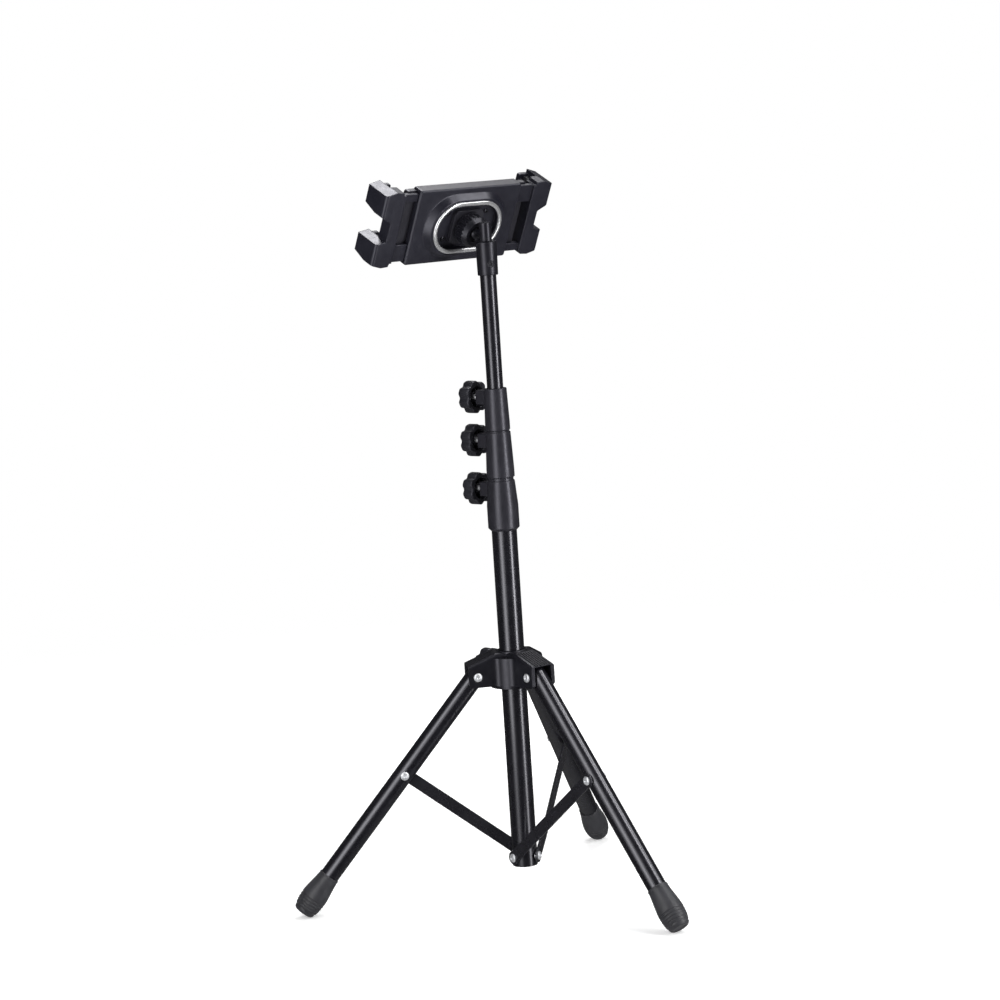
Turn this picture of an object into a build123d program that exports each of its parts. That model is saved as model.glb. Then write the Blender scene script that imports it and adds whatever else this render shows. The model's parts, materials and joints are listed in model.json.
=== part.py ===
"""Floor tripod stand for a tablet: folding three-leg base, four-section pole and ball-jointed clamp.

Millimetres, +Z up. The origin is on the floor under the pole, -Y is the user's side.
"""

import os
from math import atan2, cos, degrees, hypot, radians, sin

from build123d import *

os.makedirs("parts", exist_ok=True)

# Clearances
face_gap = 0.3
slide_gap = 0.25
pivot_gap = 0.05

# Pole tubes
tube_wall = 1.2
main_od = 25.0
tube_2_od = 22.0
tube_3_od = 19.0
tube_4_od = 16.0
main_bottom = 31.0
tube_2_bottom = 52.0
tube_3_bottom = 72.0
tube_4_bottom = 204.0
plug_flange = 5.0
plug_spigot = 9.0

# Collars, each clamping the next thinner tube, with dark neck rings in the reveals between them
collar_c_low = 369.0
collar_c_height = 49.6
collar_c_r = 15.5
collar_c_top_r = 13.5
collar_c_bevel = 2.8
collar_c_neck_r = 12.4
reveal_b = 3.0
collar_b_height = 45.0
collar_b_r = 13.75
collar_b_top_r = 12.3
collar_b_neck_r = 11.3
reveal_a = 1.5
collar_a_height = 41.4
collar_a_r = 12.2
collar_a_top_r = 11.1
collar_skirt = 8.0
collar_edge = 0.6
collar_lip = 15.0
boss_height = 14.5
boss_width = 13.0
boss_round = 2.0
boss_reach = 9.5
boss_drop = 9.0

# Star knobs
knob_azimuth = -80.0
knob_thick = 13.0
knob_r = 16.2
knob_flutes = 7
knob_flute_r = 4.0
knob_flute_depth = 2.4
knob_flute_round = 1.8
knob_crown = 1.5
knob_rim = 0.6
knob_cavity_r = 10.6
knob_cavity = 9.0
knob_dish = 4.0
knob_hub_r = 5.2
knob_rib = 1.2
knob_standoff = 2.6
stud_r = 3.0

# Tripod base
leg_azimuths = (90.0, 210.0, 330.0)
leg_tilt = 40.36
leg_od = 19.0
leg_wall = 1.1
leg_length = 290.3
leg_head = 6.5
pivot_radius = 37.5
boot_length = 45.0
boot_sole = 7.0
boot_mouth_r = 10.4
boot_waist_r = 11.0
boot_shoulder_r = 12.4
boot_belly_r = 13.2
boot_heel_r = 12.9
boot_end_r = 11.0
boot_end_round = 4.0
boot_grooves = 4
groove_high = 1.0
groove_step = 3.4

# Struts, their foot clear of the main tube and their head joggled in beside the leg
strut_on_leg = 121.2
strut_foot_z = 40.3
strut_width = 12.0
strut_eye_r = 6.8
strut_thick = 1.8
strut_gap = 0.7
strut_foot_flat = 30.0
strut_head_flat = 12.0
rivet_r = 2.5
rivet_head_r = 4.4
rivet_head = 1.9
rivet_seat = 0.8
rivet_shoulder_r = 4.2

# Hub, heights measured from its lower rim
hub_drop = 13.2
hub_height = 36.5
hub_ring_r = 16.0
hub_drum_r = 23.0
hub_drum_height = 30.5
hub_half = 14.5
hub_inner_half = 10.4
hub_reach = 46.5
hub_web_round = 10.0
channel_raise = 3.0
channel_back = 24.5
mouth_bevel = 2.5
roof_start = 19.0
roof_step = 1.0
roof_slope = 0.38
roof_thick = 2.1
roof_lip = 1.3
roof_round = 3.5
roof_grooves = 7
roof_groove_pitch = 3.0
roof_groove_width = 1.2
roof_groove_depth = 0.7
hub_boss_r = 27.0
hub_boss_side = 15.0
hub_knob_rise = 18.0

# Head
head_low = 620.0
head_top = 653.0
head_low_r = 10.0
head_top_r = 10.5
head_bore = 28.0
post_r = 6.0
post_top = 671.6
set_screw_z = 631.0
set_screw_azimuth = 72.0
set_screw_r = 2.4
ball_r = 7.0
ball_reach = 17.2
ball_z = 661.9
neck_r = 3.2

# Ball nut and socket, measured along the holder's normal from the ball centre
nut_front = -4.8
nut_back = 10.0
nut_r = 16.3
nut_mouth_r = 8.6
nut_grip_ribs = 24
socket_front = -2.8
socket_r = 11.4
socket_flange_r = 17.5
socket_flange = 12.5

# Holder
holder_tilt = 26.6
cover_back = 17.4
cover_width = 126.1
cover_height = 79.5
cover_depth = 12.0
cover_wall = 2.2
cover_skin = 2.5
cover_edge = 1.2
hill_width = 99.4
hill_height = 68.4
hill_slope = 4.8
hill_rise = 6.4
ring_width = 83.4
ring_height = 55.0
ring_band = 4.2
ring_proud = 0.9
ring_edge = 0.7
recess_floor = 17.0
screw_x = 23.5
screw_y = 13.5
screw_head_r = 2.7
plate_width = 149.0
plate_front = 31.0
front_pad_apart = 88.0
front_pad_width = 26.0
front_pad_length = 60.0
front_pad_round = 4.0
pad_thick = 0.6

# Clamp arms, x measured outwards from the holder's centre line
rail_thick = 4.0
rail_end = 20.0
rail_play = 1.55
rail_narrow = 8.0
rail_wide = 18.0
bar_in = 80.0
bar_out = 92.0
bar_shoulder = 4.0
bar_waist = 6.5
hook_out = 104.0
hook_bevel = 3.4
hook_width = 22.2
hook_root = 6.6
hook_step = 2.5
hook_taper = 2.0
hook_lean = 2.0
hook_front = 47.4
hook_side_round = 3.5
lip_thick = 4.0
lip_in = 80.5
lip_width = 18.0
lip_inset = 11.1
jaw_pad_in = 86.6
jaw_pad_width = 17.0
jaw_pad_ribs = 4

# Heights and levels worked out from the values above
collar_c_top = collar_c_low + collar_c_height
collar_b_low = collar_c_top + reveal_b
collar_b_top = collar_b_low + collar_b_height
collar_a_low = collar_b_top + reveal_a
collar_a_top = collar_a_low + collar_a_height
main_top = collar_c_top - collar_lip
tube_2_top = collar_b_top - collar_lip
tube_3_top = collar_a_top - collar_lip
tube_4_top = head_low + head_bore - face_gap
tilt = radians(leg_tilt)
pivot_z = (
    leg_length * cos(tilt)
    + (boot_end_r - boot_end_round) * sin(tilt)
    + boot_end_round * (1 - cos(tilt))
)
strut_head_r = pivot_radius + strut_on_leg * sin(tilt)
strut_head_z = pivot_z - strut_on_leg * cos(tilt)
strut_length = hypot(strut_head_r, strut_head_z - strut_foot_z)
strut_rise = atan2(strut_head_z - strut_foot_z, strut_head_r)
strut_foot_side = main_od / 2 + strut_gap
strut_head_side = leg_od / 2 + face_gap
hub_low = pivot_z - hub_drop
channel_low = hub_low + channel_raise
drum_top = hub_low + hub_drum_height
ring_top = hub_low + hub_height
roof_top = ring_top - roof_step
hub_knob_z = hub_low + hub_knob_rise
cover_floor = cover_back + cover_skin
rail_back = cover_floor + 0.4
rail_front = rail_back + rail_thick
plate_back = rail_front + face_gap
cover_front = cover_back + cover_depth
rail_edge = cover_height / 2 - cover_wall - rail_play
bar_end = rail_edge + bar_shoulder
hook_far = bar_end - hook_bevel
hook_near = hook_far - hook_width
lip_middle = hook_far - lip_inset

holder = Plane(
    origin=(0, -ball_reach, ball_z),
    x_dir=(1, 0, 0),
    z_dir=(0, -cos(radians(holder_tilt)), sin(radians(holder_tilt))),
)


def radial_plane(azimuth, radius, height):
    """Plane facing outwards at an azimuth, its local y along +Z."""
    a = radians(azimuth)
    return Plane(
        origin=(radius * cos(a), radius * sin(a), height),
        x_dir=(-sin(a), cos(a), 0),
        z_dir=(cos(a), sin(a), 0),
    )


def leg_plane(azimuth):
    """Vertical plane through the pole: local x outwards, local y up, normal to the strut's side."""
    a = radians(azimuth)
    return Plane(origin=(0, 0, 0), x_dir=(cos(a), sin(a), 0), z_dir=(sin(a), -cos(a), 0))


def leg_axis(azimuth):
    """Plane at a leg's pivot whose normal runs down the leg and whose local y is the pivot axis."""
    a = radians(azimuth)
    return Plane(
        origin=(pivot_radius * cos(a), pivot_radius * sin(a), pivot_z),
        x_dir=(cos(tilt) * cos(a), cos(tilt) * sin(a), sin(tilt)),
        z_dir=(sin(tilt) * cos(a), sin(tilt) * sin(a), -cos(tilt)),
    )


def keep(solid, name):
    """Name a finished piece and write it."""
    solid.label = name
    export_step(solid, "parts/" + name + ".step")


def open_tube(outer, low, top):
    """Round tube standing on the pole axis."""
    with BuildPart() as tube:
        with BuildSketch(Plane.XY.offset(low)):
            Circle(outer / 2)
            Circle(outer / 2 - tube_wall, mode=Mode.SUBTRACT)
        extrude(amount=top - low)
    return tube.part


def tube_plug(outer, low):
    """End plug of an inner tube, its flange just wider than the tube."""
    with BuildPart() as plug:
        with BuildSketch(Plane.XY.offset(low)):
            Circle(outer / 2 + 0.1)
        extrude(amount=-plug_flange)
        chamfer(plug.edges().group_by(Axis.Z)[0], 0.6)
        with BuildSketch(Plane.XY.offset(low)):
            Circle(outer / 2 - tube_wall)
        extrude(amount=plug_spigot)
        with BuildSketch(Plane.XY.offset(low - plug_flange)):
            Circle(outer / 2 - tube_wall - 2)
        extrude(amount=plug_flange + plug_spigot, mode=Mode.SUBTRACT)
    return plug.part


# Main tube with the three rivet holes of the struts
with BuildPart() as main_tube:
    with BuildSketch(Plane.XY.offset(main_bottom)):
        Circle(main_od / 2)
        Circle(main_od / 2 - tube_wall, mode=Mode.SUBTRACT)
    extrude(amount=main_top - main_bottom)
    for azimuth in leg_azimuths:
        with BuildSketch(radial_plane(azimuth - 90, 0, strut_foot_z)):
            Circle(rivet_r)
        extrude(amount=main_od, mode=Mode.SUBTRACT)
keep(main_tube.part, "main_tube")

# Rivets that carry the struts' lower ends, with a shoulder under each strut
strut_outside = strut_foot_side + strut_thick
base_rivet_in = main_od / 2 - tube_wall
with BuildPart() as base_rivets:
    for azimuth in leg_azimuths:
        side = azimuth - 90
        with BuildSketch(radial_plane(side, base_rivet_in, strut_foot_z)):
            Circle(rivet_shoulder_r)
        extrude(amount=strut_foot_side - face_gap - base_rivet_in)
    with BuildSketch(Plane.XY.offset(strut_foot_z - 2 * rivet_shoulder_r)):
        Circle(main_od / 2)
    extrude(amount=4 * rivet_shoulder_r, mode=Mode.SUBTRACT)
    for azimuth in leg_azimuths:
        side = azimuth - 90
        with BuildSketch(radial_plane(side, base_rivet_in, strut_foot_z)):
            Circle(rivet_r)
        extrude(amount=strut_outside + face_gap - base_rivet_in)
        with BuildSketch(radial_plane(side, strut_outside + face_gap, strut_foot_z)):
            Circle(rivet_head_r)
        extrude(amount=rivet_head, taper=18)
keep(base_rivets.part, "base_rivets")

keep(open_tube(tube_2_od, tube_2_bottom, tube_2_top), "tube_2")
keep(open_tube(tube_3_od, tube_3_bottom, tube_3_top), "tube_3")
keep(open_tube(tube_4_od, tube_4_bottom, tube_4_top), "tube_4")
keep(tube_plug(tube_2_od, tube_2_bottom), "tube_2_plug")
keep(tube_plug(tube_3_od, tube_3_bottom), "tube_3_plug")
keep(tube_plug(tube_4_od, tube_4_bottom), "tube_4_plug")


def collar(outline, outer, inner, low, top, boss_end):
    """Moulded clamp collar: turned body, square knob boss, stepped bore for both tubes."""
    boss_z = top - boss_drop
    outline_top = outline[-1][1]
    with BuildPart() as body:
        with BuildSketch(Plane.XZ):
            with BuildLine():
                Polyline(outline, close=True)
            make_face()
        revolve(axis=Axis.Z)
        with BuildSketch(radial_plane(knob_azimuth, 0, boss_z)):
            RectangleRounded(boss_width, boss_height, boss_round)
        extrude(amount=boss_end)
        with BuildSketch(Plane.XY.offset(low)):
            Circle(outer / 2)
        extrude(amount=top - collar_lip - low, mode=Mode.SUBTRACT)
        with BuildSketch(Plane.XY.offset(low)):
            Circle(inner / 2 + slide_gap)
        extrude(amount=outline_top - low, mode=Mode.SUBTRACT)
        with BuildSketch(radial_plane(knob_azimuth, inner / 2, boss_z)):
            Circle(stud_r + pivot_gap)
        extrude(amount=boss_end, mode=Mode.SUBTRACT)
    return body.part


collar_c_outline = [
    (0, collar_c_low),
    (collar_c_r - collar_c_bevel, collar_c_low),
    (collar_c_r, collar_c_low + collar_c_bevel),
    (collar_c_r, collar_c_low + collar_c_height / 2),
    (collar_c_top_r, collar_c_top - collar_edge),
    (collar_c_top_r - collar_edge, collar_c_top),
    (collar_c_neck_r, collar_c_top),
    (collar_c_neck_r, collar_b_low - face_gap),
    (0, collar_b_low - face_gap),
]
collar_b_outline = [
    (0, collar_b_low),
    (collar_b_r - collar_edge, collar_b_low),
    (collar_b_r, collar_b_low + collar_edge),
    (collar_b_r, collar_b_low + collar_skirt),
    (collar_b_top_r, collar_b_top - collar_edge),
    (collar_b_top_r - collar_edge, collar_b_top),
    (collar_b_neck_r, collar_b_top),
    (collar_b_neck_r, collar_a_low - face_gap),
    (0, collar_a_low - face_gap),
]
collar_a_outline = [
    (0, collar_a_low),
    (collar_a_r - collar_edge, collar_a_low),
    (collar_a_r, collar_a_low + collar_edge),
    (collar_a_r, collar_a_low + collar_skirt),
    (collar_a_top_r, collar_a_top - collar_edge),
    (collar_a_top_r - collar_edge, collar_a_top),
    (0, collar_a_top),
]
boss_c = collar_c_top_r + boss_reach
boss_b = collar_b_top_r + boss_reach
boss_a = collar_a_top_r + boss_reach
keep(
    collar(collar_c_outline, main_od, tube_2_od, collar_c_low, collar_c_top, boss_c),
    "collar_lower",
)
keep(
    collar(collar_b_outline, tube_2_od, tube_3_od, collar_b_low, collar_b_top, boss_b),
    "collar_middle",
)
keep(
    collar(collar_a_outline, tube_3_od, tube_4_od, collar_a_low, collar_a_top, boss_a),
    "collar_upper",
)

# Star knob, modelled once with its open face on the XY plane
with BuildPart() as star_knob:
    with BuildSketch() as star:
        Circle(knob_r)
        with PolarLocations(knob_r + knob_flute_r - knob_flute_depth, knob_flutes):
            Circle(knob_flute_r, mode=Mode.SUBTRACT)
        fillet(star.vertices(), knob_flute_round)
    extrude(amount=knob_thick)
    chamfer(star_knob.faces().sort_by(Axis.Z)[-1].edges(), knob_crown)
    chamfer(star_knob.faces().sort_by(Axis.Z)[0].edges(), knob_rim)
    with BuildSketch():
        Circle(knob_cavity_r)
        Circle(knob_hub_r, mode=Mode.SUBTRACT)
        with PolarLocations(0, knob_flutes):
            Rectangle(
                knob_cavity_r + 1,
                knob_rib,
                align=(Align.MIN, Align.CENTER),
                mode=Mode.SUBTRACT,
            )
    extrude(amount=knob_cavity, mode=Mode.SUBTRACT)
    with BuildSketch():
        Circle(knob_cavity_r)
    extrude(amount=knob_dish, mode=Mode.SUBTRACT)
    with BuildSketch():
        Circle(stud_r)
    extrude(amount=knob_cavity, mode=Mode.SUBTRACT)


def clamp_screw(name, azimuth, height, boss_end, tip):
    """Place a star knob and its stud outside a boss, the stud's tip reaching in to the tube."""
    seat = radial_plane(azimuth, boss_end + knob_standoff, height)
    keep(seat.location * star_knob.part, name + "_knob")
    with BuildPart() as stud:
        with BuildSketch(radial_plane(azimuth, tip, height)):
            Circle(stud_r)
        extrude(amount=boss_end + knob_standoff + knob_cavity - tip)
        chamfer(stud.edges().filter_by(GeomType.CIRCLE), 0.4)
    keep(stud.part, name + "_stud")


clamp_screw("lower", knob_azimuth, collar_c_top - boss_drop, boss_c, tube_2_od / 2 + face_gap)
clamp_screw("middle", knob_azimuth, collar_b_top - boss_drop, boss_b, tube_3_od / 2 + face_gap)
clamp_screw("upper", knob_azimuth, collar_a_top - boss_drop, boss_a, tube_4_od / 2 + face_gap)
clamp_screw("hub", -90, hub_knob_z, hub_boss_r, main_od / 2 + face_gap)

# Hub: a drum round the tube with three roofed channels, open below for the legs


def roof_height(radius):
    """Height of a channel roof's flat top at a distance from the pole axis."""
    return roof_top - roof_slope * (radius - roof_start)


def pivot_face(azimuth, way, side):
    """Plane across a leg's pivot axis, facing away from the leg at a distance to one side."""
    a = radians(azimuth)
    return Plane(
        origin=(
            pivot_radius * cos(a) - way * side * sin(a),
            pivot_radius * sin(a) + way * side * cos(a),
            pivot_z,
        ),
        x_dir=(cos(a), sin(a), 0),
        z_dir=(-way * sin(a), way * cos(a), 0),
    )


channel = [
    (0, channel_low),
    (0, roof_top),
    (roof_start, roof_top),
    (hub_reach, roof_height(hub_reach)),
    (hub_reach, channel_low + mouth_bevel),
    (hub_reach - mouth_bevel, channel_low),
]
channel_room = [
    (channel_back, hub_low - 1),
    (channel_back, roof_height(channel_back) - roof_thick),
    (hub_reach + 1, roof_height(hub_reach + 1) - roof_lip),
    (hub_reach + 1, hub_low - 1),
]
groove_start = roof_start + 1.5
roof_groove = [
    (groove_start, ring_top + 1),
    (groove_start, roof_height(groove_start) - roof_groove_depth),
    (hub_reach + 1, roof_height(hub_reach + 1) - roof_groove_depth),
    (hub_reach + 1, ring_top + 1),
]
hub_bore = [
    (0, hub_low - 1),
    (main_od / 2 + slide_gap, hub_low - 1),
    (main_od / 2 + slide_gap, ring_top - 0.9),
    (main_od / 2 + slide_gap + 1.9, ring_top + 1),
    (0, ring_top + 1),
]
with BuildPart() as roofed_channel:
    with BuildSketch(leg_plane(0)):
        with BuildLine():
            Polyline(channel, close=True)
        make_face()
    extrude(amount=hub_half, both=True)
    roof_edges = [
        e
        for e in roofed_channel.edges().filter_by(GeomType.LINE)
        if e.center().Z > roof_height(hub_reach) and abs(e.tangent_at(0).Y) < 0.1
    ]
    fillet(roof_edges, roof_round)
with BuildPart() as hub:
    with BuildSketch(Plane.XY.offset(channel_low)) as plan:
        Circle(hub_drum_r)
        for azimuth in leg_azimuths:
            with Locations(Location((0, 0, 0), (0, 0, azimuth))):
                Rectangle(channel_back, 2 * hub_half, align=(Align.MIN, Align.CENTER))
        fillet([v for v in plan.vertices() if Vector(v).length < hub_drum_r + 1], hub_web_round)
    extrude(amount=drum_top - channel_low)
    with BuildSketch(Plane.XY.offset(hub_low)):
        Circle(hub_drum_r)
    extrude(amount=channel_raise)
    for azimuth in leg_azimuths:
        add(roofed_channel.part, rotation=(0, 0, azimuth))
    with BuildSketch(Plane.XZ):
        with BuildLine():
            Polyline(
                (0, channel_low),
                (hub_ring_r, channel_low),
                (hub_ring_r, ring_top - 1.6),
                (hub_ring_r - 0.5, ring_top - 0.5),
                (hub_ring_r - 1.6, ring_top),
                (0, ring_top),
                close=True,
            )
        make_face()
    revolve(axis=Axis.Z)
    for azimuth in leg_azimuths:
        with BuildSketch(leg_plane(azimuth)):
            with BuildLine():
                Polyline(channel_room, close=True)
            make_face()
        extrude(amount=hub_inner_half, both=True, mode=Mode.SUBTRACT)
        for index in range(roof_grooves):
            groove = (index - (roof_grooves - 1) / 2) * roof_groove_pitch
            with BuildSketch(leg_plane(azimuth).offset(groove)):
                with BuildLine():
                    Polyline(roof_groove, close=True)
                make_face()
            extrude(amount=roof_groove_width / 2, both=True, mode=Mode.SUBTRACT)
        for way in (-1, 1):
            with BuildSketch(pivot_face(azimuth, way, hub_half)):
                Circle(rivet_head_r + 1)
            extrude(amount=-rivet_seat, mode=Mode.SUBTRACT)
            with BuildSketch(pivot_face(azimuth, way, hub_half)):
                Circle(rivet_r)
            extrude(amount=hub_inner_half - hub_half - 1, mode=Mode.SUBTRACT)
    with BuildSketch(radial_plane(-90, 0, hub_knob_z)):
        RectangleRounded(hub_boss_side, hub_boss_side, boss_round)
    extrude(amount=hub_boss_r)
    with BuildSketch(Plane.XZ):
        with BuildLine():
            Polyline(hub_bore, close=True)
        make_face()
    revolve(axis=Axis.Z, mode=Mode.SUBTRACT)
    with BuildSketch(radial_plane(-90, main_od / 2, hub_knob_z)):
        Circle(stud_r + pivot_gap)
    extrude(amount=hub_boss_r, mode=Mode.SUBTRACT)
keep(hub.part, "hub")

# Leg pivot rivets through the channel walls
with BuildPart() as hub_rivets:
    for azimuth in leg_azimuths:
        for way in (-1, 1):
            head = pivot_face(azimuth, way, hub_half - rivet_seat)
            with BuildSketch(head):
                Circle(rivet_head_r)
            extrude(amount=rivet_head, taper=18)
            with BuildSketch(head):
                Circle(rivet_r)
            extrude(amount=rivet_seat - hub_half)
keep(hub_rivets.part, "hub_rivets")

# Boot outline from its mouth to its sole, as radius against distance down the leg
boot_start = leg_length - boot_length
boot_side = [
    (0, leg_length),
    (0, boot_start),
    (boot_mouth_r - 0.6, boot_start),
    (boot_mouth_r, boot_start + 0.8),
    (boot_waist_r, boot_start + 0.2 * boot_length),
    (boot_shoulder_r, boot_start + 0.4 * boot_length),
    (boot_belly_r, boot_start + 0.6 * boot_length),
    (boot_heel_r, boot_start + 0.75 * boot_length),
    (boot_end_r, leg_length - boot_end_round),
]


def build_leg(number, azimuth):
    """One leg: tube, rubber boot and its half of the strut rivet."""
    axis_plane = leg_axis(azimuth)
    across = axis_plane.y_dir
    with BuildPart() as leg:
        with BuildSketch(axis_plane.offset(-leg_head)):
            Circle(leg_od / 2)
            Circle(leg_od / 2 - leg_wall, mode=Mode.SUBTRACT)
        extrude(amount=leg_head + leg_length - boot_sole)
        pivot_side = Plane(origin=axis_plane.origin, x_dir=axis_plane.z_dir, z_dir=across)
        with BuildSketch(pivot_side):
            Circle(rivet_r + pivot_gap)
        extrude(amount=leg_od, both=True, mode=Mode.SUBTRACT)
        strut_side = Plane(
            origin=axis_plane.origin + axis_plane.z_dir * strut_on_leg,
            x_dir=axis_plane.z_dir,
            z_dir=across,
        )
        with BuildSketch(strut_side):
            Circle(rivet_r)
        extrude(amount=leg_od, both=True, mode=Mode.SUBTRACT)
    keep(leg.part, "leg_" + number)

    outline_plane = Plane(
        origin=axis_plane.origin, x_dir=axis_plane.x_dir, z_dir=-axis_plane.y_dir
    )
    with BuildPart() as boot:
        with BuildSketch(outline_plane):
            with BuildLine():
                Polyline(boot_side)
                RadiusArc(
                    boot_side[-1],
                    (boot_end_r - boot_end_round, leg_length),
                    -boot_end_round,
                )
                Line((boot_end_r - boot_end_round, leg_length), (0, leg_length))
            make_face()
        revolve(axis=Axis(axis_plane.origin, axis_plane.z_dir))
        with BuildSketch(outline_plane):
            for ring in range(boot_grooves):
                groove_at = 0.62 * boot_length + groove_step * ring
                with Locations((boot_belly_r + 0.2 - 0.35 * ring, boot_start + groove_at)):
                    Rectangle(2.2, groove_high)
        revolve(axis=Axis(axis_plane.origin, axis_plane.z_dir), mode=Mode.SUBTRACT)
        with BuildSketch(axis_plane.offset(boot_start - 1)):
            Circle(leg_od / 2)
        extrude(amount=boot_length + 1 - boot_sole, mode=Mode.SUBTRACT)
    keep(boot.part, "boot_" + number)

    side_way = 1 if across.dot(leg_plane(azimuth).z_dir) > 0 else -1
    toward_strut = across * side_way
    far_head = Plane(
        origin=strut_side.origin - toward_strut * (leg_od / 2 - 0.4),
        x_dir=axis_plane.z_dir,
        z_dir=-toward_strut,
    )
    with BuildPart() as rivet:
        with BuildSketch(far_head):
            Circle(rivet_head_r)
        extrude(amount=rivet_head)
        with BuildSketch(axis_plane.offset(strut_on_leg - 2 * rivet_head_r)):
            Circle(leg_od / 2)
        extrude(amount=4 * rivet_head_r, mode=Mode.SUBTRACT)
        with BuildSketch(far_head.offset(1)):
            Circle(rivet_r)
        extrude(amount=-(leg_od + 0.6))
    keep(rivet.part, "leg_rivet_" + number)


def build_strut(number, azimuth):
    """Strut from the tube's foot to the leg, joggled towards the leg, with its half of the rivet."""
    side = leg_plane(azimuth)
    upper = (strut_head_r, strut_head_z)
    lower = (0, strut_foot_z)
    a = radians(azimuth)
    along = Vector(cos(strut_rise) * cos(a), cos(strut_rise) * sin(a), sin(strut_rise))
    edge_on = Plane(origin=(0, 0, strut_foot_z), x_dir=along, z_dir=along.cross(side.z_dir))
    ends = strut_eye_r + 1
    inner = [
        (-ends, strut_foot_side),
        (strut_foot_flat, strut_foot_side),
        (strut_length - strut_head_flat, strut_head_side),
        (strut_length + ends, strut_head_side),
    ]
    outer = [(s, y + strut_thick) for s, y in reversed(inner)]
    middle = (strut_head_r / 2, (strut_head_z + strut_foot_z) / 2)
    with BuildPart() as strut:
        with BuildSketch(edge_on):
            with BuildLine():
                Polyline(inner + outer, close=True)
            make_face()
        extrude(amount=strut_width, both=True)
        with BuildSketch(side):
            with Locations(Location((middle[0], middle[1], 0), (0, 0, degrees(strut_rise)))):
                Rectangle(strut_length, strut_width)
            with Locations(lower, upper):
                Circle(strut_eye_r)
            with Locations(lower):
                Circle(rivet_r + pivot_gap, mode=Mode.SUBTRACT)
            with Locations(upper):
                Circle(rivet_r, mode=Mode.SUBTRACT)
        extrude(amount=strut_outside + 1, mode=Mode.INTERSECT)
    keep(strut.part, "strut_" + number)
    with BuildPart() as rivet:
        with BuildSketch(side.offset(strut_head_side + strut_thick)):
            with Locations(upper):
                Circle(rivet_head_r)
        extrude(amount=rivet_head, taper=18)
        with BuildSketch(side.offset(strut_head_side + strut_thick)):
            with Locations(upper):
                Circle(rivet_r)
        extrude(amount=-strut_thick)
    keep(rivet.part, "strut_rivet_" + number)


for index, azimuth in enumerate(leg_azimuths):
    build_leg(str(index + 1), azimuth)
    build_strut(str(index + 1), azimuth)

# Head sleeve on the top tube
with BuildPart() as head_sleeve:
    with BuildSketch(Plane.XZ):
        with BuildLine():
            Polyline(
                (0, head_low),
                (head_low_r - 0.6, head_low),
                (head_low_r, head_low + 0.6),
                (head_top_r, head_top - 1.2),
                (head_top_r - 1.2, head_top),
                (0, head_top),
                close=True,
            )
        make_face()
    revolve(axis=Axis.Z)
    with BuildSketch(Plane.XY.offset(head_low)):
        Circle(tube_4_od / 2 + 0.1)
    extrude(amount=head_bore, mode=Mode.SUBTRACT)
    with BuildSketch(radial_plane(set_screw_azimuth, head_low_r - 0.9, set_screw_z)):
        Circle(set_screw_r + 1)
    extrude(amount=4, mode=Mode.SUBTRACT)
    with BuildSketch(radial_plane(set_screw_azimuth, 5, set_screw_z)):
        Circle(set_screw_r)
    extrude(amount=8, mode=Mode.SUBTRACT)
keep(head_sleeve.part, "head_sleeve")

with BuildPart() as set_screw:
    with BuildSketch(radial_plane(set_screw_azimuth, tube_4_od / 2 + face_gap, set_screw_z)):
        Circle(set_screw_r)
    extrude(amount=head_low_r - 0.4 - tube_4_od / 2)
    with BuildSketch(radial_plane(set_screw_azimuth, head_low_r - 0.1, set_screw_z)):
        Rectangle(3.6, 0.8)
        Rectangle(0.8, 3.6)
    extrude(amount=-1.0, mode=Mode.SUBTRACT)
    with BuildSketch(radial_plane(set_screw_azimuth, head_low_r - 0.9, set_screw_z)):
        Circle(set_screw_r + 0.8)
        Circle(set_screw_r, mode=Mode.SUBTRACT)
    extrude(amount=0.5)
keep(set_screw.part, "set_screw")

# Upright post with the ball held out to its side
with BuildPart() as ball_post:
    with BuildSketch(Plane.XY.offset(head_top)):
        Circle(post_r)
    extrude(amount=post_top - head_top)
    chamfer(ball_post.faces().sort_by(Axis.Z)[-1].edges(), 0.9)
    with BuildSketch(Plane.XZ.offset(0)):
        with Locations((0, ball_z)):
            Circle(neck_r + 1.2)
    extrude(amount=post_r + 1.2, taper=6)
    with BuildSketch(Plane.XZ.offset(0)):
        with Locations((0, ball_z)):
            Circle(neck_r)
    extrude(amount=ball_reach)
    with Locations((0, -ball_reach, ball_z)):
        Sphere(ball_r)
keep(ball_post.part, "ball_post")

# Ribbed lock nut
with BuildPart() as ball_nut:
    with BuildSketch(holder.offset(nut_front)):
        Circle(nut_r)
    extrude(amount=nut_back - nut_front)
    front_rim = ball_nut.faces().sort_by(Axis(holder.origin, holder.z_dir))[0].edges()
    chamfer(front_rim, length=4.2, length2=3.6)
    with BuildSketch(holder.offset(nut_front)):
        with PolarLocations(nut_r + 0.5, nut_grip_ribs):
            Circle(1.3)
    extrude(amount=nut_back - nut_front - 1.5, mode=Mode.SUBTRACT)
    with BuildSketch(holder.offset(socket_front - face_gap)):
        Circle(socket_r + 0.1)
    extrude(amount=nut_back - nut_front, mode=Mode.SUBTRACT)
    with BuildSketch(holder.offset(nut_front - 1)):
        Circle(nut_mouth_r)
    extrude(amount=4, mode=Mode.SUBTRACT)
keep(ball_nut.part, "ball_nut")

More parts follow.
